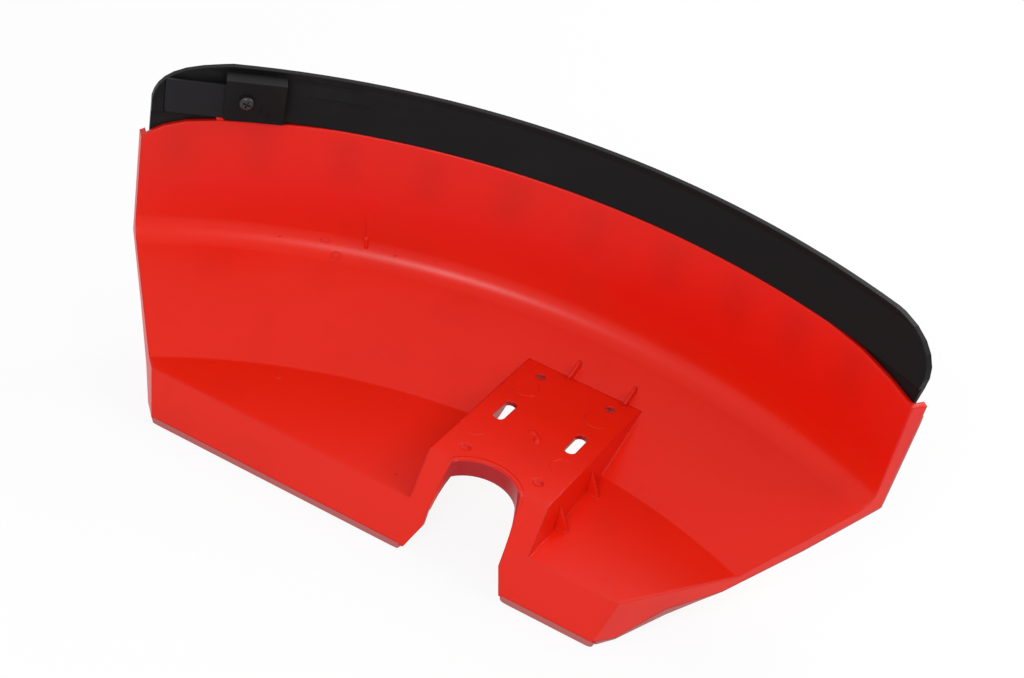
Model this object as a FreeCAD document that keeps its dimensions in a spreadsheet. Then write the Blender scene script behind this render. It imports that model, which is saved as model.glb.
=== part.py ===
import FreeCAD, Part
import math
import os
import Sketcher

# Trimmer blade guard: red moulded shell, black clip-on extension, line cutter blade and its screw.
# Drawn in the plate's own frame (front fold along X at Y 0, plate inside face at Z 0, dish opening to +Z),
# then every piece is turned together so that the mounting pad is level and its seat is at the origin.
doc = FreeCAD.newDocument("guard")
V = FreeCAD.Vector

sizes = {
    "wall": 2.8, "axisBack": 226.0, "innerRadius": 214.0, "creaseIn": 78.6, "skirtRun": 4.0,
    "cornerHeight": 33.0, "rimRadius": 390.0, "rimHeight": 107.4, "bandFillet": 15.0,
    "leftArm": 200.5, "rightArm": 88.2, "leftAngle": 134.6, "rightAngle": 55.0,
    "flangeDepth": 25.0, "flangeLean": 9.0,
    "padWidth": 71.0, "padNearDepth": 12.9, "padFarDepth": 124.7, "padNearHeight": 25.5, "padFarHeight": 19.4,
    "padTilt": 3.123, "holeHalf": 21.8, "holeFar": 112.3, "holeNear": 26.7, "slotMid": 69.9, "holeSize": 5.5,
    "slotWidth": 6.5, "slotLength": 20.0, "dimpleDepth": 1.1,
    "notchHalf": 23.0, "notchMid": -1.5, "notchShift": -1.0, "collarDepth": 7.5, "lipHeight": 1.2,
    "ribRight": 10.0, "ribLeft": 8.0,
    "fitGap": 0.15, "extOut": 8.0, "extTopHeight": 136.0, "extWall": 2.6, "extLap": 19.0,
    "tabWidth": 14.0, "tabLength": 12.0, "tabThick": 2.2,
    "knifeAngle": 33.5, "blockLength": 33.0, "blockHeight": 24.0, "blockBase": 109.5, "blockReach": 9.0,
    "bladeThick": 1.5, "bladeBase": 107.7, "bladeHeight": 20.5, "bladeLength": 54.0, "bladeStand": 4.6, "bladeInsert": 22.0,
    "screwHead": 8.5, "screwHeadHeight": 2.8, "screwShank": 4.0, "screwLength": 13.0, "screwDrop": 12.0, "screwShift": 4.5,
    "seatShiftY": -68.729, "seatShiftZ": -23.369,
}
sheet = doc.addObject("Spreadsheet::Sheet", "sizes")
for row, (name, value) in enumerate(sizes.items(), 1):
    sheet.set(f"A{row}", name)
    sheet.set(f"B{row}", str(value))
    sheet.setAlias(f"B{row}", name)
doc.recompute()


def amount(terms):
    # A coordinate as a sum of named sizes and plain numbers: its value, and the expression that drives it
    terms = terms if isinstance(terms, list) else [terms]
    value, words = 0.0, []
    for term in terms:
        factor, name = term if isinstance(term, tuple) else (1.0, term)
        if isinstance(name, str):
            value += factor * sizes[name]
            words.append(f"({factor}) * sizes.{name}")
        else:
            value += factor * name
            words.append(f"({factor * name})")
    return value, " + ".join(words)


turns = {"XY": FreeCAD.Rotation(), "YZ": FreeCAD.Rotation(V(1, 1, 1), 120), "XZ": FreeCAD.Rotation(V(1, 0, 0), 90)}


def outline(name, plane, corners, base=None, turn=None):
    # Closed straight-sided sketch, every corner held by two driven distances
    sketch = doc.addObject("Sketcher::SketchObject", name)
    sketch.Placement = FreeCAD.Placement(base or V(), turn or turns[plane])
    spots = [(amount(x), amount(y)) for x, y in corners]
    count = len(spots)
    for i in range(count):
        (ax, ay), (bx, by) = spots[i], spots[(i + 1) % count]
        sketch.addGeometry(Part.LineSegment(V(ax[0], ay[0], 0), V(bx[0], by[0], 0)), False)
    for i in range(count):
        sketch.addConstraint(Sketcher.Constraint("Coincident", i, 2, (i + 1) % count, 1))
    for i, (x, y) in enumerate(spots):
        for kind, axis, (value, words) in (("DistanceX", -2, x), ("DistanceY", -1, y)):
            if abs(value) < 1e-9:
                sketch.addConstraint(Sketcher.Constraint("PointOnObject", i, 1, axis))
            elif value > 0:
                k = sketch.addConstraint(Sketcher.Constraint(kind, -1, 1, i, 1, value))
                sketch.setExpression(f"Constraints[{k}]", words)
            else:
                k = sketch.addConstraint(Sketcher.Constraint(kind, i, 1, -1, 1, -value))
                sketch.setExpression(f"Constraints[{k}]", f"-({words})")
    return sketch


def prism(name, plane, corners, low, high, base=None, turn=None):
    # Straight prism of an outline, from low to high along the sketch's own normal
    solid = doc.addObject("Part::Extrusion", name)
    solid.Base = outline(name + "Sketch", plane, corners, base, turn)
    solid.DirMode = "Normal"
    solid.Solid = True
    solid.setExpression("LengthFwd", amount(high)[1])
    solid.setExpression("LengthRev", f"-({amount(low)[1]})")
    return solid


def revolved(name, corners, sweep=112.0):
    # Turn a radius and height outline about the upright axis of the arcs
    solid = doc.addObject("Part::Revolution", name)
    shifted = [([x, (-1.0, "axisBack")] if not isinstance(x, list) else x + [(-1.0, "axisBack")], y) for x, y in corners]
    solid.Source = outline(name + "Sketch", "YZ", shifted)
    solid.Axis = V(0, 0, 1)
    solid.setExpression("Base.y", "-sizes.axisBack")
    solid.Angle = sweep
    solid.Symmetric = True
    solid.Solid = True
    return solid


def box(name, size, place, turn=None):
    solid = doc.addObject("Part::Box", name)
    for side, terms in zip(("Length", "Width", "Height"), size):
        solid.setExpression(side, amount(terms)[1])
    solid.Placement = FreeCAD.Placement(V(), turn or FreeCAD.Rotation())
    for side, terms in zip("xyz", place):
        solid.setExpression(f"Placement.Base.{side}", amount(terms)[1])
    return solid


def rod(name, size, height, place, turn=None):
    solid = doc.addObject("Part::Cylinder", name)
    solid.setExpression("Radius", f"({amount(size)[1]}) / 2")
    solid.setExpression("Height", amount(height)[1])
    solid.Placement = FreeCAD.Placement(V(), turn or FreeCAD.Rotation())
    for side, terms in zip("xyz", place):
        solid.setExpression(f"Placement.Base.{side}", amount(terms)[1])
    return solid


def fuse(name, shapes):
    solid = doc.addObject("Part::MultiFuse", name)
    solid.Shapes = shapes
    return solid


def common(name, shapes):
    # What all the shapes share, taken two at a time
    solid = shapes[0]
    for k, other in enumerate(shapes[1:], 1):
        both = doc.addObject("Part::Common", name + (str(k) if k < len(shapes) - 1 else ""))
        both.Base, both.Tool = solid, other
        solid = both
    return solid


def cut(name, base, tool):
    solid = doc.addObject("Part::Cut", name)
    solid.Base, solid.Tool = base, tool
    return solid


# Dish: flat round the notch, cone from the crease, upright skirt to the rim, one even wall
w = "wall"
corner = ["rimRadius", (-1.0, "skirtRun")]
crease = ["rimRadius", (-1.0, "creaseIn")]
dish = revolved("dish", [
    ("innerRadius", 0.0), (crease, 0.0), (corner, "cornerHeight"), ("rimRadius", "rimHeight"),
    (["rimRadius", (1.0, w)], "rimHeight"), (corner + [(0.966, w)], ["cornerHeight", (-0.666, w)]),
    (crease + [(0.212, w)], (-1.0, w)), ("innerRadius", (-1.0, w))])
doc.recompute()
bend = doc.addObject("Part::Fillet", "dishBend")
bend.Base = dish
picked = []
for k, edge in enumerate(dish.Shape.Edges, 1):
    if not isinstance(edge.Curve, Part.Circle):
        continue
    side = edge.Curve.Radius - sizes["rimRadius"] + sizes["skirtRun"]
    rise = edge.Curve.Center.z - sizes["cornerHeight"]
    inner = abs(side) < 0.5 and abs(rise) < 0.5
    outer = abs(side - 0.966 * sizes[w]) < 0.5 and abs(rise + 0.666 * sizes[w]) < 0.5
    if inner or outer:
        radius = sizes["bandFillet"] + (sizes[w] if outer else 0.0)
        picked.append((k, radius, radius))
bend.Edges = picked
rightRun = (math.cos(math.radians(sizes["rightAngle"])), math.sin(math.radians(sizes["rightAngle"])))
leftRun = (math.cos(math.radians(sizes["leftAngle"])), math.sin(math.radians(sizes["leftAngle"])))
plan = prism("plan", "XY", [
    ((-1.0, "leftArm"), 0.0), ("rightArm", 0.0), (["rightArm", 320 * rightRun[0]], 320 * rightRun[1]),
    (0.0, 420.0), ([(-1.0, "leftArm"), 320 * leftRun[0]], 320 * leftRun[1])], -80.0, 200.0)
plate = common("plate", [bend, plan])

# Front flange folded to the back, leaning forward, mitred with the end flanges, chamfered beside the notch
front = prism("front", "YZ", [
    (0.0, 0.0), ((-1.0, "flangeLean"), (-1.0, "flangeDepth")),
    ([(-1.0, "flangeLean"), w], (-1.0, "flangeDepth")), ([w, (-0.36, w)], (-1.0, w)), (w, 0.0)], -260.0, 200.0)
reach = 30.0
skew = {"left": reach * leftRun[0] / leftRun[1], "right": reach * rightRun[0] / rightRun[1]}
planFront = prism("planFront", "XY", [
    ([(-1.0, "leftArm"), -skew["left"]], -reach), (["rightArm", -skew["right"]], -reach),
    (["rightArm", 320 * rightRun[0]], 320 * rightRun[1]), (0.0, 420.0),
    ([(-1.0, "leftArm"), 320 * leftRun[0]], 320 * leftRun[1])], -80.0, 200.0)
gapLeft = [(-1.0, "notchHalf"), "notchShift"]
gapRight = ["notchHalf", "notchShift"]
frontGap = prism("frontGap", "XZ", [
    (gapLeft, 40.0), (gapLeft, -11.0), (gapLeft + [-8.0], -28.8), (gapRight + [7.0], -28.8), (gapRight, -11.0), (gapRight, 40.0)], -60.0, 60.0)
frontWall = cut("frontWall", common("frontStrip", [front, planFront]), frontGap)

# End flanges: strips in the two upright end planes, behind the plate and outside the skirt
behindFront = prism("behindFront", "YZ", [
    (0.0, 0.0), ((-1.0, "flangeLean"), (-1.0, "flangeDepth")), (300.0, (-1.0, "flangeDepth")), (300.0, 200.0), (0.0, 200.0)], -300.0, 300.0)
rightDepth = revolved("rightDepth", [
    (["rimRadius", -168.0], 0.0), (crease, 0.0), (corner, "cornerHeight"), ("rimRadius", "rimHeight"),
    (["rimRadius", "ribRight"], "rimHeight"), (corner + [6.5], ["cornerHeight", -4.0]), (["rimRadius", -40.0], 9.5),
    (["rimRadius", -85.0], -8.5), (["rimRadius", -118.0], -12.5), (["rimRadius", -144.0], (-1.0, "flangeDepth")),
    (["rimRadius", -168.0], (-1.0, "flangeDepth"))])
rightSlab = box("rightSlab", (360.0, w, 280.0), (["rightArm", -40 * rightRun[0]], -40 * rightRun[1], -100.0),
                FreeCAD.Rotation(V(0, 0, 1), sizes["rightAngle"]))
rightSlab.setExpression("Placement.Rotation.Angle", "sizes.rightAngle")
rightEnd = common("rightEnd", [rightDepth, rightSlab, behindFront])
leftDepth = revolved("leftDepth", [
    (["rimRadius", -112.0], 0.0), (crease, 0.0), (corner, "cornerHeight"), ("rimRadius", "rimHeight"),
    (["rimRadius", "ribLeft"], "rimHeight"), (corner + [6.0], ["cornerHeight", -4.0]), (["rimRadius", -40.0], 9.0),
    (["rimRadius", -72.0], -10.0), (["rimRadius", -87.0], (-1.0, "flangeDepth")),
    (["rimRadius", -112.0], (-1.0, "flangeDepth"))])
leftSlab = box("leftSlab", (360.0, w, 280.0), ([(-1.0, "leftArm"), -40 * leftRun[0], (leftRun[1], w)], [-40 * leftRun[1], (-leftRun[0], w)], -100.0),
               FreeCAD.Rotation(V(0, 0, 1), sizes["leftAngle"]))
leftSlab.setExpression("Placement.Rotation.Angle", "sizes.leftAngle")
leftEnd = common("leftEnd", [leftDepth, leftSlab, behindFront])

# Mounting pad: hollow wedge box standing off the plate, with a steep face down to the front fold
half = (0.5, "padWidth")
padLine = [(0.0, 0.0), ("padNearDepth", "padNearHeight"), ("padFarDepth", "padFarHeight")]
padBody = prism("padBody", "YZ", padLine + [("padFarDepth", ["padFarHeight", -5.0]), (88.0, -2.8), (0.0, -2.8)], (-0.5, "padWidth"), half)
padHollow = prism("padHollow", "YZ", [
    (-4.1, -15.0), (["padNearDepth", (0.76, w)], ["padNearHeight", (-1.0, w), -0.12]),
    (["padFarDepth", -5.0], ["padFarHeight", (-1.0, w), 0.27]), (["padFarDepth", -5.0], 2.0), (98.0, -15.0)],
    [(-0.5, "padWidth"), w], [half, (-1.0, w)])


def radial(angle):
    # Turn that points a local X along the arc, Y outwards and Z up, at an angle right of the middle
    return FreeCAD.Rotation(V(0, 0, 1), -angle)


def onArc(angle, radius):
    a = math.radians(angle)
    return V(radius * math.sin(a), radius * math.cos(a) - sizes["axisBack"], 0)


def across(angle):
    # Upright drawing plane facing along the radius at an angle: drawing X along the arc, drawing Y up
    return radial(angle).multiply(turns["XZ"])


def notchPlan(name, grow, low, high, turn=None, back=0.0):
    # U of the notch in plan, grown all round: straight sides and a half-round end
    turn = turn or FreeCAD.Rotation()
    rect = box(name + "Bar", ([(2.0, "notchHalf"), 2 * grow], [60.0, "notchMid"], high - low),
               ([(-1.0, "notchHalf"), -grow, "notchShift"], -60.0 - back, low), turn)
    disc = rod(name + "Disc", [(2.0, "notchHalf"), 2 * grow], high - low, ("notchShift", ["notchMid", -back], low), turn)
    return fuse(name, [rect, disc])


def endAngle(arm, run, radius):
    # Angle about the upright axis at which an end plane, known by its foot and run in plan, meets an arc
    b = arm * run[0] + sizes["axisBack"] * run[1]
    t = math.sqrt(b * b - arm ** 2 - sizes["axisBack"] ** 2 + radius ** 2) - b
    return math.degrees(math.atan2(arm + t * run[0], t * run[1] + sizes["axisBack"]))


squareToPad = FreeCAD.Rotation(V(1, 0, 0), -sizes["padTilt"] - 0.5)
collarOuter = notchPlan("collarOuter", 2.6, 13.5, 36.0, squareToPad, 0.5)
collarZone = prism("collarZone", "YZ", [
    (8.0, 15.5), (["padNearDepth", -1.2], ["padNearHeight", -1.0]), (["padNearDepth", 0.6], ["padNearHeight", "lipHeight", -0.1]),
    (40.0, ["padNearHeight", "lipHeight", -1.5]), (40.0, 15.5)], -40.0, 40.0)
collar = common("collar", [collarOuter, collarZone])

# Small ribs: two beyond the pad's far edge, two gussets at the foot of its right wall
ribA = box("ribA", (1.8, 13.0, 9.0), (-9.5, ["padFarDepth", -1.0], 14.0), FreeCAD.Rotation(V(1, 0, 0), 21.0))
ribB = box("ribB", (1.8, 13.0, 9.0), (25.5, ["padFarDepth", -1.0], 14.0), FreeCAD.Rotation(V(1, 0, 0), 21.0))
gussets = [prism(name, "XZ", [(half, -1.0), ([half, 8.0], -1.0), (half, 15.0)], -1.0, 1.0, V(0, y, 0)) for name, y in (("gussetA", 66.0), ("gussetB", 30.0))]

holes = []
for side, tag in ((-1.0, "Left"), (1.0, "Right")):
    tiltBack = FreeCAD.Rotation(V(1, 0, 0), -sizes["padTilt"])
    holes.append(rod("farHole" + tag, "holeSize", 30.0, ((side, "holeHalf"), "holeFar", 5.0), tiltBack))
    holes.append(rod("dimple" + tag, "holeSize", 6.0, ((side, "holeHalf"), "holeNear", ["padNearHeight", (-1.0, "dimpleDepth"), -0.75]), tiltBack))
    holes.append(box("slot" + tag, ("slotWidth", ["slotLength", (-1.0, "slotWidth")], 30.0),
                     ([(side, "holeHalf"), (-0.5, "slotWidth")], ["slotMid", (-0.5, "slotLength"), (0.5, "slotWidth")], 8.0), tiltBack))
    for end in (-1.0, 1.0):
        holes.append(rod("slotEnd" + tag + ("Near" if end < 0 else "Far"), "slotWidth", 30.0,
                         ((side, "holeHalf"), ["slotMid", (0.5 * end, "slotLength"), (-0.5 * end, "slotWidth")], 8.0), tiltBack))
notch = notchPlan("notch", 0.0, -60.0, 60.0)
padCuts = fuse("padCuts", holes + [notch])
shellSolid = fuse("shellSolid", [plate, padBody])
shellOpen = cut("shellOpen", shellSolid, padHollow)
shellWhole = fuse("shellWhole", [shellOpen, frontWall, rightEnd, leftEnd, collar, ribA, ribB] + gussets)
rimEnds = {"left": endAngle(-sizes["leftArm"], leftRun, sizes["rimRadius"]),
           "right": endAngle(sizes["rightArm"], rightRun, sizes["rimRadius"])}
dipLeft = prism("dipLeft", "XZ", [(x, ["rimHeight", -drop]) for x, drop in (
    (-40.0, 19.4), (-4.0, 15.9), (0.0, 14.4), (4.0, 11.4), (10.0, 8.2), (22.0, 4.8), (43.0, 2.5), (76.0, 1.1),
    (110.0, -0.2), (110.0, -17.6), (-40.0, -17.6))],
    -70.0, 30.0, onArc(rimEnds["left"] + 0.26, sizes["rimRadius"]), across(rimEnds["left"] + 0.26))
dipRight = prism("dipRight", "XZ", [(x, ["rimHeight", -drop]) for x, drop in (
    (40.0, 17.4), (4.0, 11.9), (0.0, 10.4), (-18.0, 5.9), (-40.0, 1.9), (-66.0, -0.2), (-66.0, -17.6), (40.0, -17.6))],
    -70.0, 30.0, onArc(rimEnds["right"] - 0.14, sizes["rimRadius"]), across(rimEnds["right"] - 0.14))
shell = cut("guardShell", shellWhole, fuse("shellCuts", [padCuts, dipLeft, dipRight]))
shell.Label = "guard_shell"
shell.Refine = True

# Extension: band lapped on the outside of the skirt and standing above the rim, ends rounded off
c = "fitGap"
slope = sizes["skirtRun"] / (sizes["rimHeight"] - sizes["cornerHeight"])
extTop = ["rimRadius", "extOut"]
skirtOut = ["rimRadius", (1.0, w), c]
band = revolved("extBand", [
    (skirtOut + [(-slope, "extLap")], ["rimHeight", (-1.0, "extLap")]), (skirtOut, "rimHeight"),
    (["rimRadius", 0.6], ["rimHeight", c]), (extTop + [(-1.0, "extWall"), -0.2], ["extTopHeight", -3.5]),
    (extTop + [(-1.0, "extWall"), -0.2], "extTopHeight"), (extTop + [0.8], "extTopHeight"),
    (extTop + [0.2], ["extTopHeight", -4.0]), (skirtOut + ["extWall", 0.3], ["rimHeight", 2.0]),
    (skirtOut + ["extWall", (-slope, "extLap")], ["rimHeight", (-1.0, "extLap")])])


endRadius = sizes["rimRadius"] + 6.0
endLeft = prism("endLeft", "XZ", [(x, ["extTopHeight", -drop]) for x, drop in (
    (0.0, 56.0), (0.0, 21.0), (1.2, 17.0), (3.2, 13.4), (6.4, 10.0), (11.0, 7.0), (18.0, 4.2), (27.0, 2.2),
    (38.0, 0.6), (48.0, -0.6), (60.0, -14.0), (-300.0, -14.0), (-300.0, 56.0))],
    -200.0, 200.0, onArc(rimEnds["left"] + 0.66, endRadius), across(rimEnds["left"] + 0.66))
endRight = prism("endRight", "XZ", [(x, ["extTopHeight", -drop]) for x, drop in (
    (0.0, 56.0), (0.0, 39.5), (1.6, 29.0), (2.0, 23.0), (0.6, 17.0), (-3.0, 11.4), (-8.6, 6.6), (-16.5, 2.8),
    (-26.5, 0.4), (-38.0, -0.6), (-50.0, -14.0), (300.0, -14.0), (300.0, 56.0))],
    -200.0, 200.0, onArc(rimEnds["right"] - 0.44, endRadius), across(rimEnds["right"] - 0.44))
tabs = []
for k, angle in enumerate((-39.2, -32.6, -25.6, -18.5, -11.6, -4.4, 2.6, 9.0, 14.6, 20.4)):
    place = onArc(angle, sizes["rimRadius"] + sizes[w] + 0.25)
    tab = box(f"tab{k}", ("tabWidth", "tabThick", ["tabLength", 6.0]), (0.0, 0.0, ["rimHeight", (-1.0, "extLap"), (-1.0, "tabLength")]), radial(angle))
    corner = radial(angle).multVec(V(-0.5 * sizes["tabWidth"], -slope * sizes["extLap"] + 0.15, 0))
    tab.setExpression("Placement.Base.x", f"{place.x + corner.x}")
    tab.setExpression("Placement.Base.y", f"{place.y + corner.y}")
    tabs.append(tab)

# Knife block inside the left end, with a slot for the blade
turn = radial(-sizes["knifeAngle"])
wallIn = sizes["rimRadius"] + 2.4


def knifeSpot(along, out):
    spot = onArc(-sizes["knifeAngle"], wallIn + out) + turn.multVec(V(along, 0, 0))
    return spot.x, spot.y


bx, by = knifeSpot(-0.5 * sizes["blockLength"], -sizes["blockReach"])
block = box("block", ("blockLength", ["blockReach", 2.4], "blockHeight"), (bx, by, "blockBase"), turn)
px, py = knifeSpot(0.5 * sizes["blockLength"] - 11.0 - sizes["bladeLength"], -sizes["bladeStand"])
blade = box("bladePlate", ("bladeLength", "bladeThick", "bladeHeight"), (px, py, "bladeBase"), turn)
sx, sy = knifeSpot(0.5 * sizes["blockLength"] - 11.3 - sizes["bladeLength"], -sizes["bladeStand"] - 0.1)
bladeSlot = box("bladeSlot", (["bladeLength", 0.6], ["bladeThick", 0.2], ["bladeHeight", 3.15]), (sx, sy, ["bladeBase", -3.0]), turn)
hx, hy = knifeSpot(-sizes["screwShift"], -sizes["blockReach"])
inward = turn.multiply(FreeCAD.Rotation(V(1, 0, 0), -90))
screwZ = ["blockBase", "screwDrop"]
screwHole = rod("screwHole", ["screwShank", 0.2], 30.0, (hx, hy, screwZ), inward)
extSolid = fuse("extSolid", [band] + tabs)
extEnds = cut("extEnds", extSolid, fuse("extCorners", [endLeft, endRight]))
extBlock = fuse("extBlock", [extEnds, block])
extension = cut("lineGuardExtension", extBlock, fuse("extHoles", [bladeSlot, screwHole]))
extension.Label = "line_guard_extension"
extension.Refine = True

bladeHole = rod("bladeHole", ["screwShank", 0.2], 30.0, (hx, hy, screwZ), inward)
ex, ey = knifeSpot(0.5 * sizes["blockLength"] - 11.0 - sizes["bladeLength"] - 4.0, -sizes["bladeStand"] - 0.9)
edgeBevel = box("edgeBevel", (12.0, 2.0, 40.0), (ex, ey, ["blockBase", -6.0]), turn.multiply(FreeCAD.Rotation(V(0, 0, 1), -9.0)))
knife = cut("lineCutterBlade", blade, fuse("bladeCuts", [bladeHole, edgeBevel]))
knife.Label = "line_cutter_blade"

gx, gy = knifeSpot(-sizes["screwShift"], -sizes["blockReach"] - sizes["screwHeadHeight"])
head = rod("screwHeadRod", "screwHead", "screwHeadHeight", (gx, gy, screwZ), inward)
shank = rod("screwShankRod", "screwShank", "screwLength", (gx, gy, screwZ), inward)
screwBlank = fuse("screwBlank", [head, shank])
doc.recompute()
dome = doc.addObject("Part::Fillet", "screwDome")
dome.Base = screwBlank
front0 = V(gx, gy, amount(screwZ)[0])
rims = []
for k, edge in enumerate(screwBlank.Shape.Edges, 1):
    if isinstance(edge.Curve, Part.Circle) and abs(edge.Curve.Radius - 0.5 * sizes["screwHead"]) < 0.05:
        if (edge.Curve.Center - front0).Length < 0.05:
            rims.append((k, 1.6, 1.6))
dome.Edges = rims
slots = []
for k in range(2):
    spin = inward.multiply(FreeCAD.Rotation(V(0, 0, 1), 90.0 * k + 20.0))
    low = front0 + spin.multVec(V(-2.2, -0.45, -0.5))
    slots.append(box(f"crossSlot{k}", (4.4, 0.9, 2.0), (low.x, low.y, low.z), spin))
screw = cut("bladeScrew", dome, fuse("crossRecess", slots))
screw.Label = "blade_screw"

# Turn the whole guard so that the pad lies square to Z, with the middle of its seat at the origin
pieces = [shell, extension, knife, screw]
for piece in pieces:
    piece.Placement = FreeCAD.Placement(V(), FreeCAD.Rotation(V(1, 0, 0), sizes["padTilt"]))
    piece.setExpression("Placement.Rotation.Angle", "sizes.padTilt")
    piece.setExpression("Placement.Base.y", "sizes.seatShiftY")
    piece.setExpression("Placement.Base.z", "sizes.seatShiftZ")
doc.recompute()

for thing in doc.Objects:
    if "Invalid" in thing.State or "Error" in thing.State:
        raise RuntimeError(f"{thing.Name} did not build: {thing.State}")
os.makedirs("parts", exist_ok=True)
for piece in pieces:
    if piece.Shape.isNull() or not piece.Shape.isValid():
        raise RuntimeError(f"{piece.Label} has no valid shape")
    b = piece.Shape.BoundBox
    print(piece.Label, "solids", len(piece.Shape.Solids), "volume", round(piece.Shape.Volume), "box",
          [round(q, 1) for q in (b.XMin, b.XMax, b.YMin, b.YMax, b.ZMin, b.ZMax)])
    piece.Shape.exportStep(f"parts/{piece.Label}.step")
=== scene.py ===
import math

import bpy
import numpy as np
from mathutils import Matrix, Vector


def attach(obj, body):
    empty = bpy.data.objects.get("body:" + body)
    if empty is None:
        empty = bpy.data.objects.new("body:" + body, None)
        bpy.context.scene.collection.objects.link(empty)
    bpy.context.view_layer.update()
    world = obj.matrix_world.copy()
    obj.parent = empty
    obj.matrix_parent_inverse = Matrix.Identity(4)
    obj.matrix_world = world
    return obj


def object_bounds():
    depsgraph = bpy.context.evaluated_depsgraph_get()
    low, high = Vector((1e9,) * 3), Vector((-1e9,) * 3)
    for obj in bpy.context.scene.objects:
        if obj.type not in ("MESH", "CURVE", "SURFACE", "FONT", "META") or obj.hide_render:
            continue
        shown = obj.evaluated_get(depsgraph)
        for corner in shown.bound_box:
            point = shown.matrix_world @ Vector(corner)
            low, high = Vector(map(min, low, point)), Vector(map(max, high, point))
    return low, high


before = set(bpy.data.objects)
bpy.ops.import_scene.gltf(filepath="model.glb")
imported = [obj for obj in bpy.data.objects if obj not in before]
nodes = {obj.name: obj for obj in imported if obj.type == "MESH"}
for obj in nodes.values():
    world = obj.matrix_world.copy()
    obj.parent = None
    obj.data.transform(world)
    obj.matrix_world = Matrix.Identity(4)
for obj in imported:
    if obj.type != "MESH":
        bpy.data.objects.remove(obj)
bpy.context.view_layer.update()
stage = bpy.context.scene
print("stage: frame loaded")

# Drawing frame of the guard: front fold along X at y 0, plate face at z 0, arcs about an upright axis
draw = {"tilt": math.radians(3.123),  # lean of the pad against the plate
        "shift": (0.0, -0.068729, -0.023369),  # drawing origin in the row's frame, metres
        "axisBack": 226.0}  # axis of the arcs behind the front fold, millimetres
rowTurn = np.array(Matrix.Rotation(draw["tilt"], 3, "X"))
rowShift = np.array(draw["shift"])


def placed(points):
    # Drawing frame in millimetres to the row's frame in metres
    return np.asarray(points, float) * 0.001 @ rowTurn.T + rowShift


def turned(directions):
    # The same turn for a direction
    return np.asarray(directions, float) @ rowTurn.T


# Camera at the photograph's viewpoint, worked out from the guard's edges for an image 1024 wide
view = {"spot": (303.5, -760.7, 705.8), "focal": 2097.4, "width": 1024.0, "sensor": 36.0,
        "right": (0.8633, 0.4746, 0.1719), "down": (0.4056, -0.4496, -0.7958),
        "ahead": (-0.3004, 0.7567, -0.5806), "farthest": 20.0}
lens = bpy.data.cameras.new("camera")
lens.sensor_width = view["sensor"]
lens.lens = view["focal"] / view["width"] * view["sensor"]
lens.clip_end = view["farthest"]
camera = bpy.data.objects.new("camera", lens)
stage.collection.objects.link(camera)
axes = turned([view["right"], np.negative(view["down"]), np.negative(view["ahead"])])
pose = np.eye(4)
pose[:3, :3] = axes.T
pose[:3, 3] = placed(view["spot"])
camera.matrix_world = Matrix(pose.tolist())
stage.camera = camera
print("stage: camera")


def group(name, ins, outs):
    # Empty shader node group with its sockets: its tree, what comes in and what goes out
    tree = bpy.data.node_groups.new(name, "ShaderNodeTree")
    for label, kind in ins.items():
        tree.interface.new_socket(label, in_out="INPUT", socket_type=kind)
    for label, kind in outs.items():
        tree.interface.new_socket(label, in_out="OUTPUT", socket_type=kind)
    return tree, tree.nodes.new("NodeGroupInput").outputs, tree.nodes.new("NodeGroupOutput").inputs


def use(tree, inner, values):
    # Node group placed in a tree with its inputs fed; gives its outputs
    node = tree.nodes.new("ShaderNodeGroup")
    node.node_tree = inner
    for label, value in values.items():
        feed(tree, node.inputs[label], value)
    return node.outputs


def feed(tree, socket, value):
    # Link an output to an input, or set the input's own value
    if isinstance(value, bpy.types.NodeSocket):
        tree.links.new(value, socket)
    elif socket.type == "RGBA":
        socket.default_value = (*value, 1.0)
    else:
        socket.default_value = value


def calc(tree, operation, first, second=0.0, third=0.0):
    node = tree.nodes.new("ShaderNodeMath")
    node.operation = operation
    for socket, value in zip(node.inputs, (first, second, third)):
        feed(tree, socket, value)
    return node.outputs[0]


def times(tree, first, *others):
    # Product of several values
    for other in others:
        first = calc(tree, "MULTIPLY", first, other)
    return first


def between(tree, value, low, high):
    # One between two limits, else nought
    return times(tree, calc(tree, "GREATER_THAN", value, low), calc(tree, "LESS_THAN", value, high))


def ease(tree, value, low, high):
    # Smooth step from 0 at low to 1 at high
    node = tree.nodes.new("ShaderNodeMapRange")
    node.interpolation_type = "SMOOTHSTEP"
    feed(tree, node.inputs["Value"], value)
    node.inputs["From Min"].default_value = low
    node.inputs["From Max"].default_value = high
    return node.outputs["Result"]


def blend(tree, factor, first, second):
    # Colour between two, by a factor
    node = tree.nodes.new("ShaderNodeMix")
    node.data_type = "RGBA"
    feed(tree, node.inputs["Factor"], factor)
    feed(tree, node.inputs[6], first)
    feed(tree, node.inputs[7], second)
    return node.outputs[2]


def noise(tree, spot, scale, detail):
    node = tree.nodes.new("ShaderNodeTexNoise")
    feed(tree, node.inputs["Vector"], spot)
    node.inputs["Scale"].default_value = scale
    node.inputs["Detail"].default_value = detail
    return node.outputs["Fac"]


def split(tree, spot):
    node = tree.nodes.new("ShaderNodeSeparateXYZ")
    feed(tree, node.inputs[0], spot)
    return node.outputs


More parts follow.
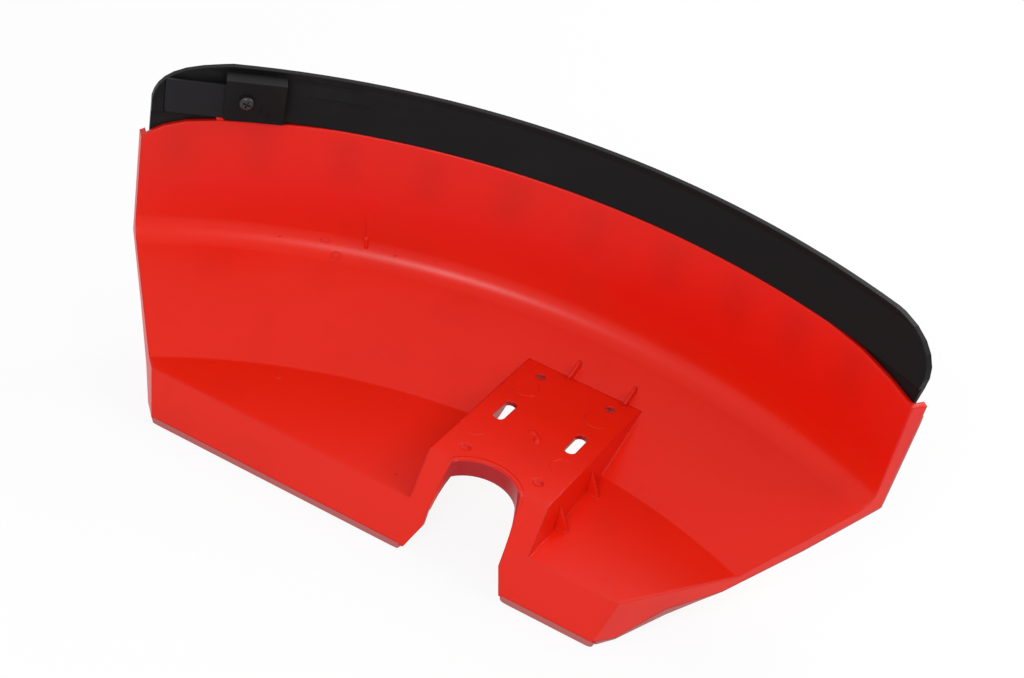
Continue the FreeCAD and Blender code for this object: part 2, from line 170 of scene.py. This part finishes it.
# Place on the guard's arcs: angle in degrees right of the middle, height above the plate in millimetres
tree, enter, leave = group("arcPlace", {"Spot": "NodeSocketVector"},
                           {"Angle": "NodeSocketFloat", "Height": "NodeSocketFloat"})
shifted = tree.nodes.new("ShaderNodeVectorMath")
shifted.operation = "SUBTRACT"
feed(tree, shifted.inputs[0], enter["Spot"])
feed(tree, shifted.inputs[1], draw["shift"])
level = tree.nodes.new("ShaderNodeVectorRotate")
level.rotation_type = "X_AXIS"
feed(tree, level.inputs["Angle"], -draw["tilt"])
feed(tree, level.inputs["Vector"], shifted.outputs[0])
across, ahead, above = split(tree, level.outputs[0])
bearing = calc(tree, "ARCTAN2", across, calc(tree, "ADD", ahead, draw["axisBack"] * 0.001))
feed(tree, leave["Angle"], times(tree, bearing, 180.0 / math.pi))
feed(tree, leave["Height"], times(tree, above, 1000.0))
arcPlace = tree

# Dark patches where the extension's tabs show through the skirt
tabs = {"angles": (-39.2, -32.6, -25.6, -18.5, -11.6, -4.4, 2.6, 9.0, 14.6, 20.4), "half": 2.5,
        "span": (-45.0, 30.0), "rise": (66.0, 84.0), "fall": (108.0, 98.0)}
tree, enter, leave = group("tabShade", {"Angle": "NodeSocketFloat", "Height": "NodeSocketFloat"},
                           {"Mask": "NodeSocketFloat"})
first, last = tabs["span"]
ramp = tree.nodes.new("ShaderNodeValToRGB")
ramp.color_ramp.interpolation = "EASE"
stops = []
for angle in tabs["angles"]:
    stops += [(angle - tabs["half"], 0.0), (angle, 1.0), (angle + tabs["half"], 0.0)]
while len(ramp.color_ramp.elements) < len(stops):
    ramp.color_ramp.elements.new(0.5)
for element, (angle, shade) in zip(ramp.color_ramp.elements, stops):
    element.position = (angle - first) / (last - first)
    element.color = (shade, shade, shade, 1.0)
along = calc(tree, "DIVIDE", calc(tree, "SUBTRACT", enter["Angle"], first), last - first)
feed(tree, ramp.inputs[0], along)
heights = times(tree, ease(tree, enter["Height"], *tabs["rise"]), ease(tree, enter["Height"], *tabs["fall"]))
feed(tree, leave["Mask"], times(tree, ramp.outputs["Color"], heights))
tabShade = tree

# Walls of the pad's slots and holes and of the notch, which sit in the shade of the thickness
inner = {"half": 0.031, "run": (-0.040, 0.052), "deep": (0.0003, 0.0024),  # box round slots and holes
         "notch": (-0.001, -0.0015), "radius": 0.0236, "past": (0.004, 0.012), "under": (0.0032, 0.0022)}
tree, enter, leave = group("insideShade", {"Spot": "NodeSocketVector"}, {"Mask": "NodeSocketFloat"})
across, ahead, above = split(tree, enter["Spot"])
slots = times(tree, between(tree, across, -inner["half"], inner["half"]),
              between(tree, ahead, *inner["run"]), between(tree, above, *inner["deep"]))
across = calc(tree, "SUBTRACT", across, inner["notch"][0])
ahead = calc(tree, "SUBTRACT", ahead, draw["shift"][1] + inner["notch"][1])
reach = calc(tree, "SQRT", calc(tree, "ADD", times(tree, across, across), times(tree, ahead, ahead)))
notch = times(tree, calc(tree, "LESS_THAN", reach, inner["radius"]),
              ease(tree, ahead, *inner["past"]), ease(tree, above, *inner["under"]))
feed(tree, leave["Mask"], calc(tree, "MAXIMUM", slots, notch))
insideShade = tree

# Moulded grain: a fine and a broad noise, for bump height and for uneven gloss and tone
grains = {"fine": (900.0, 3.0), "broad": (22.0, 4.0)}  # scale and detail
tree, enter, leave = group("grain", {"Spot": "NodeSocketVector"},
                           {"Fine": "NodeSocketFloat", "Broad": "NodeSocketFloat"})
feed(tree, leave["Fine"], noise(tree, enter["Spot"], *grains["fine"]))
feed(tree, leave["Broad"], noise(tree, enter["Spot"], *grains["broad"]))
grain = tree


def plain(name, look):
    # Principled material with the values that hold all over it
    material = bpy.data.materials.new(name)
    material.use_nodes = True
    shader = material.node_tree.nodes["Principled BSDF"]
    feed(material.node_tree, shader.inputs["Base Color"], look["color"])
    shader.inputs["Roughness"].default_value = look["rough"]
    shader.inputs["Metallic"].default_value = look.get("metallic", 0.0)
    shader.inputs["Specular IOR Level"].default_value = look["gloss"]
    return material, shader


moulding = {"samples": 6, "bump": 0.25}  # rays of the rounded edges, strength of the grain


def softened(tree, shader, look, fine):
    # Rounded look on moulded edges, with the grain's bump on top
    rounded = tree.nodes.new("ShaderNodeBevel")
    rounded.samples = moulding["samples"]
    rounded.inputs["Radius"].default_value = look["edge"]
    bump = tree.nodes.new("ShaderNodeBump")
    bump.inputs["Strength"].default_value = moulding["bump"]
    bump.inputs["Distance"].default_value = look["depth"]
    feed(tree, bump.inputs["Height"], fine)
    feed(tree, bump.inputs["Normal"], rounded.outputs[0])
    feed(tree, shader.inputs["Normal"], bump.outputs[0])


def objectSpot(tree):
    return tree.nodes.new("ShaderNodeTexCoord").outputs["Object"]


redLook = {"color": (0.765, 0.0130, 0.0020), "skirt": (0.755, 0.0062, 0.0002), "bend": (36.0, 64.0),
           "blotch": (0.69, 0.0105, 0.0012), "blotches": (0.48, 0.72), "blotchPart": 0.6,
           "shade": (0.45, 0.005, 0.001), "shadePart": 0.22, "inside": (0.40, 0.004, 0.008),
           "rough": 0.33, "uneven": 0.12, "gloss": 0.28, "edge": 0.0018, "depth": 0.00012}
red, shader = plain("redPlastic", redLook)
tree = red.node_tree
spot = objectSpot(tree)
arcs = use(tree, arcPlace, {"Spot": spot})
moulded = use(tree, grain, {"Spot": spot})
# The skirt's deeper, more saturated red, blended in by height, is painted shade: it stands in for the
# skirt's face turned from the light and its weaker sheen
tone = blend(tree, ease(tree, arcs["Height"], *redLook["bend"]), redLook["color"], redLook["skirt"])
blotch = times(tree, ease(tree, moulded["Broad"], *redLook["blotches"]), redLook["blotchPart"])
tone = blend(tree, blotch, tone, redLook["blotch"])
patch = use(tree, tabShade, {"Angle": arcs["Angle"], "Height": arcs["Height"]})["Mask"]
tone = blend(tree, times(tree, patch, redLook["shadePart"]), tone, redLook["shade"])
tone = blend(tree, use(tree, insideShade, {"Spot": spot})["Mask"], tone, redLook["inside"])
feed(tree, shader.inputs["Base Color"], tone)
smoothest = redLook["rough"] - 0.5 * redLook["uneven"]
rough = calc(tree, "MULTIPLY_ADD", moulded["Broad"], redLook["uneven"], smoothest)
feed(tree, shader.inputs["Roughness"], rough)
softened(tree, shader, redLook, moulded["Fine"])

blackLook = {"color": (0.0045, 0.0042, 0.0047), "pale": (0.009, 0.0087, 0.009), "paleSpread": (0.5, 0.75),
             "paleAngles": (4.0, -34.0), "rough": 0.46, "gloss": 0.13, "edge": 0.0007, "depth": 0.00010}
black, shader = plain("blackPlastic", blackLook)
tree = black.node_tree
spot = objectSpot(tree)
arcs = use(tree, arcPlace, {"Spot": spot})
moulded = use(tree, grain, {"Spot": spot})
# Paler in broad noise patches, more so towards the left end of the extension, from angle 4 down to -34
# degrees
paled = times(tree, ease(tree, moulded["Broad"], *blackLook["paleSpread"]),
                ease(tree, arcs["Angle"], *blackLook["paleAngles"]))
feed(tree, shader.inputs["Base Color"], blend(tree, paled, blackLook["color"], blackLook["pale"]))
softened(tree, shader, blackLook, moulded["Fine"])

steelLook = {"color": (0.016, 0.016, 0.018), "rough": 0.40, "metallic": 0.3, "gloss": 0.12,
             "edge": 0.0007, "depth": 0.00003}
steel, shader = plain("bladeSteel", steelLook)
tree = steel.node_tree
softened(tree, shader, steelLook, use(tree, grain, {"Spot": objectSpot(tree)})["Fine"])

screwLook = {"color": (0.045, 0.044, 0.046), "rough": 0.33, "metallic": 0.8, "gloss": 0.4}
dark = plain("screwSteel", screwLook)[0]
finishes = {"guard_shell": red, "line_guard_extension": black,
            "line_cutter_blade": steel, "blade_screw": dark}
for name, material in finishes.items():
    for slot in nodes[name].material_slots:
        slot.material = material
print("stage: materials")


def surface(name, grid, material, closed=False):
    # Grid of points as quads, smooth, riding on the guard
    rows, columns = grid.shape[:2]
    index = np.arange(rows * columns).reshape(rows, columns)
    index = np.vstack([index, index[:1]]) if closed else index
    faces = np.stack([index[:-1, :-1], index[1:, :-1], index[1:, 1:], index[:-1, 1:]], -1).reshape(-1, 4)
    mesh = bpy.data.meshes.new(name)
    mesh.from_pydata(grid.reshape(-1, 3).tolist(), [], faces.tolist())
    mesh.polygons.foreach_set("use_smooth", np.ones(len(faces), bool))
    mesh.materials.append(material)
    piece = bpy.data.objects.new(name, mesh)
    stage.collection.objects.link(piece)
    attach(piece, "root")
    return piece


def bead(path, normal, width, height, closed=False, blunt=4):
    # Half-round strip along a path: half the width times the cosine across, the height times the sine up,
    # both swelling from nothing at the open ends by the root of one less an even power, blunter when higher
    tangent = np.roll(path, -1, 0) - np.roll(path, 1, 0) if closed else np.gradient(path, axis=0)
    side = np.cross(tangent, normal)
    side /= np.linalg.norm(side, axis=1, keepdims=True)
    run = np.linspace(-1.0, 1.0, len(path))
    swell = np.ones(len(path)) if closed else np.sqrt(np.clip(1.0 - run ** blunt, 0.0, 1.0))
    count = 9  # points across
    sunk = 0.00005  # base just under the face it sits on
    turn = np.linspace(0.0, math.pi, count)
    out = (0.5 * width * swell)[:, None, None] * np.cos(turn)[None, :, None] * side[:, None]
    up = ((height * swell)[:, None, None] * np.sin(turn)[None, :, None] - sunk) * normal[:, None]
    return path[:, None] + out + up


def arc(spot, size, start, sweep, count):
    # Part of a circle about a spot: size times the cosine across, size times the sine up
    turn = np.radians(start + np.linspace(0.0, sweep, count))
    return spot[0] + size * np.cos(turn), spot[1] + size * np.sin(turn)


def aboutAxis(radius, angle, height):
    # Round the arcs' axis: radius times the sine across, times the cosine ahead less the axis's setback
    return np.stack([radius * np.sin(angle), radius * np.cos(angle) - draw["axisBack"], height], -1)


# Profile of the inside of the dish: radius about the arcs' axis and height, and the bend's radius
dish = {"crease": (311.4, 0.0), "corner": (386.0, 33.0), "rim": (390.0, 107.4), "bend": 15.0}


def dishFace(angle, height):
    # Inner face of the dish: the radius grows straight with height up the cone, follows a circle round the
    # bend, then grows straight up the skirt; the normal is square to that profile
    crease, corner, rim = (np.array(dish[key]) for key in ("crease", "corner", "rim"))
    bend = dish["bend"]
    cone = (corner - crease) / np.linalg.norm(corner - crease)
    wall = (rim - corner) / np.linalg.norm(rim - corner)
    inward = (wall - cone) / np.linalg.norm(wall - cone)
    half = 0.5 * math.acos(-cone @ wall)
    centre = corner + inward * bend / math.sin(half)
    run = bend / math.tan(half)
    angle, height = np.broadcast_arrays(np.radians(np.asarray(angle, float)), np.asarray(height, float))
    low, high = corner[1] - run * cone[1], corner[1] + run * wall[1]
    bulge = np.sqrt(np.clip(bend ** 2 - (height - centre[1]) ** 2, 0.0, None))
    radius = np.where(height < low, crease[0] + height * cone[0] / cone[1], centre[0] + bulge)
    radius = np.where(height > high, corner[0] + (height - corner[1]) * wall[0] / wall[1], radius)
    lean = np.where(height < low, -cone[1], np.where(height > high, -wall[1], -bulge / bend))
    rise = np.where(height < low, cone[0], np.where(height > high, wall[0], (centre[1] - height) / bend))
    normals = np.stack([lean * np.sin(angle), lean * np.cos(angle), rise], -1)
    return placed(aboutAxis(radius, angle, height)), turned(normals)


pad = {"middle": -0.95, "top": 2.8}  # where the marks are counted from, and the pad's thickness


def onPad(u, v):
    # Top of the mounting pad, square to Z
    points = np.stack([u, v + pad["middle"], np.full(len(u), pad["top"])], -1) * 0.001
    return points, np.broadcast_to([0.0, 0.0, 1.0], points.shape)


def onPlate(x, y):
    # Flat of the plate, at height 0 of the drawing frame
    points = placed(np.stack([x, y, np.zeros(len(x))], -1))
    return points, np.broadcast_to(turned([0.0, 0.0, 1.0]), points.shape)


# Ejector rings on the pad, low round ridges: middle, start and sweep of each
padRings = {"rings": (((-23.2, 28.5), -150.0, 220.0), ((20.9, 30.1), 140.0, 200.0),
                      ((-27.7, -23.3), 150.0, 230.0), ((26.5, -22.0), 30.0, 250.0)),
            "radius": 7.4, "width": 0.0011, "height": 0.00045, "steps": 48}
for k, (spot, start, sweep) in enumerate(padRings["rings"]):
    path = onPad(*arc(spot, padRings["radius"], start, sweep, padRings["steps"]))
    surface(f"padRing{k}", bead(*path, padRings["width"], padRings["height"]), red)

# Crescent in the middle of the pad
crescent = {"spot": (-1.6, -12.4), "radius": 6.4, "start": -8.0, "sweep": 112.0,
            "width": 0.0036, "height": 0.0012, "steps": 32}
path = onPad(*arc(crescent["spot"], crescent["radius"], crescent["start"], crescent["sweep"],
                  crescent["steps"]))
surface("padCrescent", bead(*path, crescent["width"], crescent["height"]), red)

# Two small ovals and a few specks on the bend: places as angle and height
ovals = {"spots": ((-26.3, 38.0), (-25.15, 31.4)), "across": 2.6, "up": 1.4,
         "width": 0.0010, "height": 0.0006, "steps": 40}
turn = np.linspace(0.0, 2.0 * math.pi, ovals["steps"], endpoint=False)
wide = np.degrees(ovals["across"] / dish["corner"][0])
for k, (angle, height) in enumerate(ovals["spots"]):
    path = dishFace(angle + wide * np.cos(turn), height + ovals["up"] * np.sin(turn))
    surface(f"bendOval{k}", bead(*path, ovals["width"], ovals["height"], True), red, True)
specks = {"spots": ((-30.1, 36.0), (-21.2, 38.8), (-20.2, 36.8), (-16.6, 39.4), (16.9, 37.6)),
          "length": 2.2, "slope": 0.4, "width": 0.0010, "height": 0.0005, "steps": 9}
run = np.linspace(-0.5, 0.5, specks["steps"]) * specks["length"]
for k, (angle, height) in enumerate(specks["spots"]):
    path = dishFace(angle + np.degrees(run / dish["corner"][0]), height + specks["slope"] * run)
    surface(f"bendSpeck{k}", bead(*path, specks["width"], specks["height"]), red)

# Flow line straight down the skirt from its top, thick near its foot
flow = {"top": (-23.3, 58.7), "foot": (-22.75, 36.8), "width": 0.0008, "height": 0.0003,
        "footFrom": 0.62, "footWidth": 0.0028, "footHeight": 0.0014, "steps": 40}
down = np.linspace(0.0, 1.0, flow["steps"])
angle, height = (flow["top"] + np.outer(down, np.subtract(flow["foot"], flow["top"]))).T
surface("flowLine", bead(*dishFace(angle, height), flow["width"], flow["height"]), red)
path = dishFace(angle[down > flow["footFrom"]], height[down > flow["footFrom"]])
surface("flowFoot", bead(*path, flow["footWidth"], flow["footHeight"]), red)

# Small stop on the rim beside the knife block
rimStop = {"angle": -36.1, "length": 5.0, "up": 106.2, "width": 0.0030, "height": 0.0012, "steps": 17}
run = np.linspace(-0.5, 0.5, rimStop["steps"]) * rimStop["length"]
path = dishFace(rimStop["angle"] + np.degrees(run / dish["rim"][0]), rimStop["up"])
surface("rimStop", bead(*path, rimStop["width"], rimStop["height"]), red)

# Marks on the flat of the plate, two short arcs: middle and start of each
plateMarks = {"marks": (((-144.5, 40.5), 200.0), ((-48.6, 12.6), 190.0)), "radius": 2.6, "sweep": 150.0,
              "width": 0.0011, "height": 0.0005, "steps": 20}
for k, (spot, start) in enumerate(plateMarks["marks"]):
    path = onPlate(*arc(spot, plateMarks["radius"], start, plateMarks["sweep"], plateMarks["steps"]))
    surface(f"plateMark{k}", bead(*path, plateMarks["width"], plateMarks["height"]), red)

# Two raised lines on the inside of the extension, right of the knife block: angles and height of each
lines = {"upper": (-31.2, -24.6, 131.5), "lower": (-29.5, -24.2, 123.0), "width": 0.0011, "height": 0.0008,
         "foot": (390.6, 107.55), "slope": 4.6 / 24.95, "rise": 0.18, "steps": 40}
for key in ("upper", "lower"):
    start, end, height = lines[key]
    angle = np.radians(np.linspace(start, end, lines["steps"]))
    radius = lines["foot"][0] + (height - lines["foot"][1]) * lines["slope"]  # the band leans outwards
    points = placed(aboutAxis(radius, angle, np.full(lines["steps"], height)))
    normals = np.stack([-np.sin(angle), -np.cos(angle), np.full(lines["steps"], lines["rise"])], -1)
    normals = turned(normals / math.hypot(1.0, lines["rise"]))
    surface(key + "Line", bead(points, normals, lines["width"], lines["height"]), black)

# Moulding scar and a low ridge on the face of the knife block, right of its screw: middle, size and start
scars = {"angle": -33.5, "radius": 383.4, "marks": (((6.2, 117.4), 3.0, 80.0), ((9.8, 114.6), 2.0, 100.0)),
         "sweep": 190.0, "width": 0.0011, "height": 0.0007, "steps": 24}
facing = math.radians(scars["angle"])
for k, (spot, size, start) in enumerate(scars["marks"]):
    slide, height = arc(spot, size, start, scars["sweep"], scars["steps"])
    points = np.stack([scars["radius"] * math.sin(facing) + slide * math.cos(facing),
                       scars["radius"] * math.cos(facing) - draw["axisBack"] - slide * math.sin(facing),
                       height], -1)
    normals = np.broadcast_to(turned([-math.sin(facing), -math.cos(facing), 0.0]), points.shape)
    grid = bead(placed(points), normals, scars["width"], scars["height"])
    surface(f"blockScar{k}", grid, black)

# Rounded free edges of the front flange, half-round over the wall, in a paler colour that is a painted
# reflection of the white floor on the rounded edge: start, end, bluntness
edgeLook = {"color": (0.47, 0.115, 0.115), "rough": 0.5, "gloss": 0.3}
paintedReflectionRed = plain("redEdgeReflection", edgeLook)[0]
frontEdges = {"Left": (-193.0, -30.6, 70), "Right": (27.8, 83.6, 24), "line": (-7.6, -24.8),
              "out": (-0.339, -0.941), "width": 0.0029, "height": 0.0037, "steps": 60}
for key in ("Left", "Right"):
    start, end, blunt = frontEdges[key]
    slide = np.linspace(start, end, frontEdges["steps"])
    points = placed(np.insert(np.tile(frontEdges["line"], (len(slide), 1)), 0, slide, 1))
    normals = np.broadcast_to(turned([0.0, *frontEdges["out"]]), points.shape)
    grid = bead(points, normals, frontEdges["width"], frontEdges["height"], blunt=blunt)
    surface("edgeFront" + key, grid, paintedReflectionRed)

# The same, with the same painted reflection, on the right end flange: corners of its free edge as radius,
# height and how far the edge stands
endEdge = {"foot": (88.2, 0.0), "run": 55.0, "inset": 1.4, "width": 0.0029, "blunt": 80, "steps": 20,
           "corners": ((234.4, -24.8, 0.0034), (246.0, -24.8, 0.0026), (272.0, -12.4, 0.0056),
                       (305.0, -8.4, 0.0012), (350.0, 9.7, 0.0022), (392.0, 29.3, 0.0024),
                       (398.4, 92.0, 0.0024))}
spans = len(endEdge["corners"]) - 1
way = np.linspace(0.0, spans, spans * endEdge["steps"] + 1)
radius, height, stand = (np.interp(way, np.arange(spans + 1), row) for row in zip(*endEdge["corners"]))
runX, runY = math.cos(math.radians(endEdge["run"])), math.sin(math.radians(endEdge["run"]))
footX, footY = endEdge["foot"][0], endEdge["foot"][1] + draw["axisBack"]
lead = footX * runX + footY * runY
far = np.sqrt(lead ** 2 - footX ** 2 - footY ** 2 + radius ** 2) - lead  # along the end plane to each radius
points = np.stack([footX + far * runX - endEdge["inset"] * runY,
                   endEdge["foot"][1] + far * runY + endEdge["inset"] * runX, height], -1)
forth, climb = np.gradient(far), np.gradient(height)
normals = np.stack([climb * runX, climb * runY, -forth], -1) / np.hypot(forth, climb)[:, None]
grid = bead(placed(points), turned(normals), endEdge["width"], stand, blunt=endEdge["blunt"])
surface("edgeRightEnd", grid, paintedReflectionRed)
print("stage: details")

# White floor and world for what the camera and reflections see, with the floor's own shading kept under it
ground = {"half": 4.0, "gap": 0.0003, "glow": 0.90, "color": (0.88, 0.88, 0.88), "rough": 0.9, "gloss": 0.0}
lowest = float(np.min([corner[2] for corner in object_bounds()]))
mesh = bpy.data.meshes.new("floor")
h = ground["half"]
mesh.from_pydata([(-h, -h, 0.0), (h, -h, 0.0), (h, h, 0.0), (-h, h, 0.0)], [], [(0, 1, 2, 3)])
floor = bpy.data.objects.new("floor", mesh)
floor.location.z = lowest - ground["gap"]
stage.collection.objects.link(floor)


def seen(tree):
    # One for camera, glossy and transmission rays, else nought
    rays = tree.nodes.new("ShaderNodeLightPath")
    most = calc(tree, "MAXIMUM", rays.outputs["Is Camera Ray"], rays.outputs["Is Glossy Ray"])
    return calc(tree, "MAXIMUM", most, rays.outputs["Is Transmission Ray"])


paper, shader = plain("paper", ground)
tree = paper.node_tree
glow = tree.nodes.new("ShaderNodeEmission")
mixed = tree.nodes.new("ShaderNodeMixShader")
feed(tree, mixed.inputs[0], times(tree, seen(tree), ground["glow"]))
feed(tree, mixed.inputs[1], shader.outputs[0])
feed(tree, mixed.inputs[2], glow.outputs[0])
feed(tree, tree.nodes["Material Output"].inputs["Surface"], mixed.outputs[0])
mesh.materials.append(paper)

sky = {"level": 0.49, "color": (1.0, 1.0, 1.0)}
world = bpy.data.worlds.new("studio")
stage.world = world
world.use_nodes = True
tree = world.node_tree
back = tree.nodes["Background"]
feed(tree, back.inputs["Color"], sky["color"])
strength = calc(tree, "MULTIPLY_ADD", seen(tree), 1.0 - sky["level"], sky["level"])
feed(tree, back.inputs["Strength"], strength)

lamps = {"key": ((0.10, -1.35, 0.93), 0.45, 9.6), "right": ((1.10, 0.30, 1.20), 0.9, 7.5),
         "back": ((0.30, 1.30, 1.20), 0.9, 12.0)}  # place, size and power
aim = Vector((-0.03, 0.0, 0.03))
for name, (spot, size, power) in lamps.items():
    data = bpy.data.lights.new(name, "AREA")
    data.shape = "DISK"
    data.size = size
    data.energy = power
    lamp = bpy.data.objects.new(name, data)
    lamp.location = spot
    lamp.rotation_euler = (aim - Vector(spot)).to_track_quat("-Z", "Y").to_euler()
    stage.collection.objects.link(lamp)
stage.view_settings.view_transform = "Standard"
print("stage: light")
